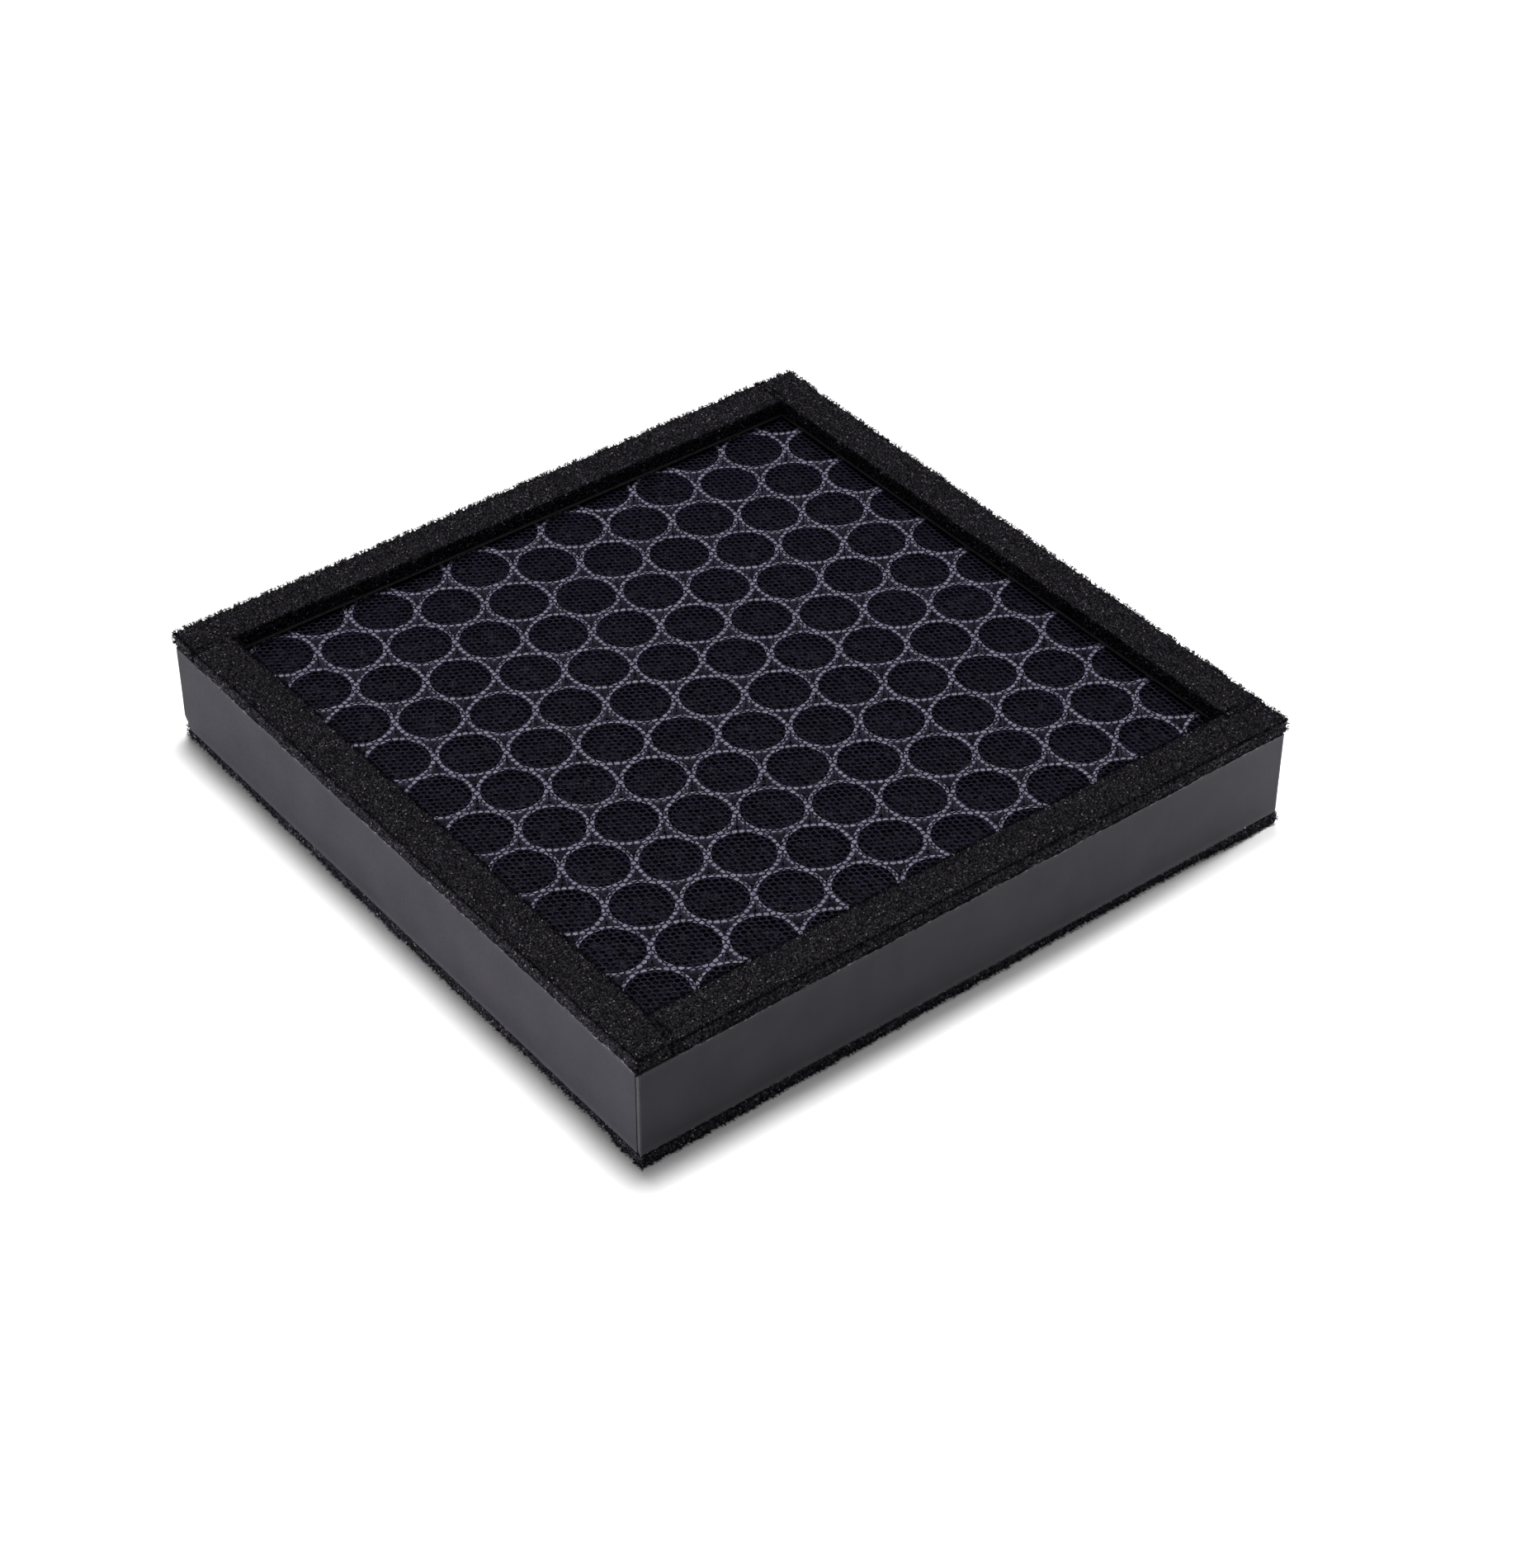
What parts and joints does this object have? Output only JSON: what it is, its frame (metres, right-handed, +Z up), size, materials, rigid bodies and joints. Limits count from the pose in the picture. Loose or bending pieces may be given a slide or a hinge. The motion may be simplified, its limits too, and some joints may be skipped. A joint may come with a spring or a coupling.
{
  "type": "panel air filter",
  "caption": "Square panel air filter: folded card frame, block of round tubes filled with carbon granules under a fine net, and an open-cell foam gasket round both faces.",
  "frame": {"origin": "middle of the footprint, on the surface that the lower gasket rests on", "axes": "+Z up through the filter along the tubes, towards the face shown; X across the tube columns, Y along them; the front of the frame faces -Y and its right side faces +X"},
  "size_m": [0.2, 0.2, 0.0335],
  "materials": {
    "card": "matte",
    "tube_plastic": "matte",
    "carbon": "matte",
    "glue": "satin",
    "net": "satin",
    "tape": "satin",
    "foam": "matte"
  },
  "bodies": {
    "root": {"card_frame": "card", "tube_core": "tube_plastic", "carbon_charge": "carbon", "edge_glue": "glue", "upper_mesh": "net", "lower_mesh": "net", "upper_tape_front": "tape", "upper_tape_right": "tape", "upper_tape_rear": "tape", "upper_tape_left": "tape", "upper_foam_front": "foam", "upper_foam_right": "foam", "upper_foam_rear": "foam", "upper_foam_left": "foam", "lower_tape_front": "tape", "lower_tape_right": "tape", "lower_tape_rear": "tape", "lower_tape_left": "tape", "lower_foam_front": "foam", "lower_foam_right": "foam", "lower_foam_rear": "foam", "lower_foam_left": "foam"}
  },
  "joints": []
}
